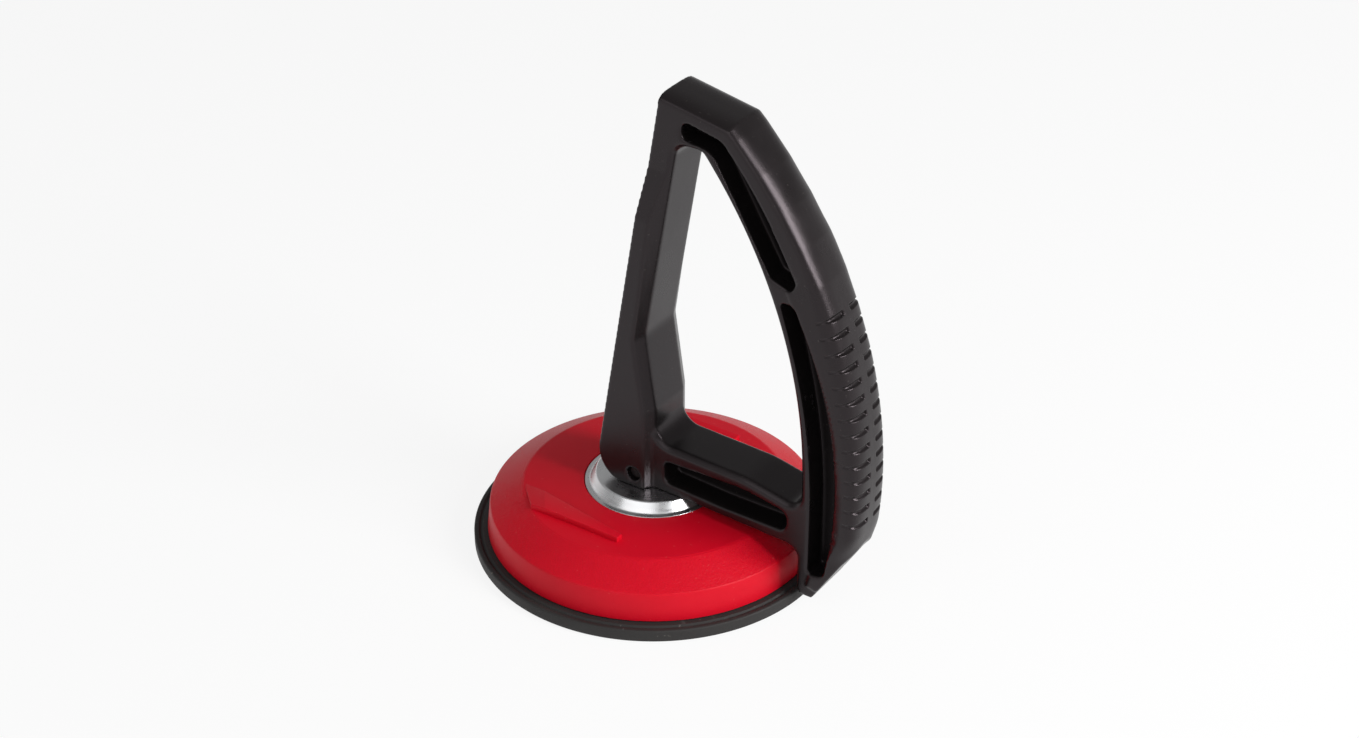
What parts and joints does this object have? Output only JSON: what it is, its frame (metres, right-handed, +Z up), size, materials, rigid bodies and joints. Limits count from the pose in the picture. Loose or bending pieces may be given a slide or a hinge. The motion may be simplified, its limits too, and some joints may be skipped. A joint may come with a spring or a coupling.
{
  "type": "floor tile suction lifter",
  "caption": "Hand tool that lifts smooth floor tiles: a rubber suction pad under a domed red cover, with a black cam-lever handle on top that tips over to draw the vacuum.",
  "frame": {"origin": "centre of the pad's round sealing face, at the level of the tile", "axes": "+Z up out of the pad, +X from the post along the arm to the grip, +Y along the pivot pin"},
  "size_m": [0.1774, 0.15, 0.2089],
  "materials": {
    "pad_rubber": "matte moulded rubber",
    "zinc_steel": "bright zinc plate, turned",
    "stem_steel": "turned steel",
    "cover_red": "spark-textured red plastic",
    "bush_plastic": "natural sliding plastic",
    "handle_black": "satin black moulded plastic"
  },
  "bodies": {
    "base": {"suction_pad": "pad_rubber", "cover": "cover_red", "guide_bush": "bush_plastic", "thrust_washer": "zinc_steel"},
    "stem": {"pull_stem": "stem_steel", "insert_plate": "zinc_steel", "lock_nut": "zinc_steel", "pivot_pin": "stem_steel"},
    "handle": {"handle": "handle_black"}
  },
  "joints": [
    {"name": "stem_lift", "type": "slide", "parent": "base", "child": "stem", "axis": [0, 0, 1], "range_m": [0, 0.01255], "deforming": ["suction_pad"]},
    {"name": "handle_pivot", "type": "hinge", "parent": "stem", "child": "handle", "pos_m": [0, 0, 0.0369], "axis": [0, -1, 0], "range_deg": [0, 99.75]}
  ],
  "couplings": [
    {"joint": "stem_lift", "follows": "handle_pivot", "m_per_rad": 0.0071799}
  ]
}
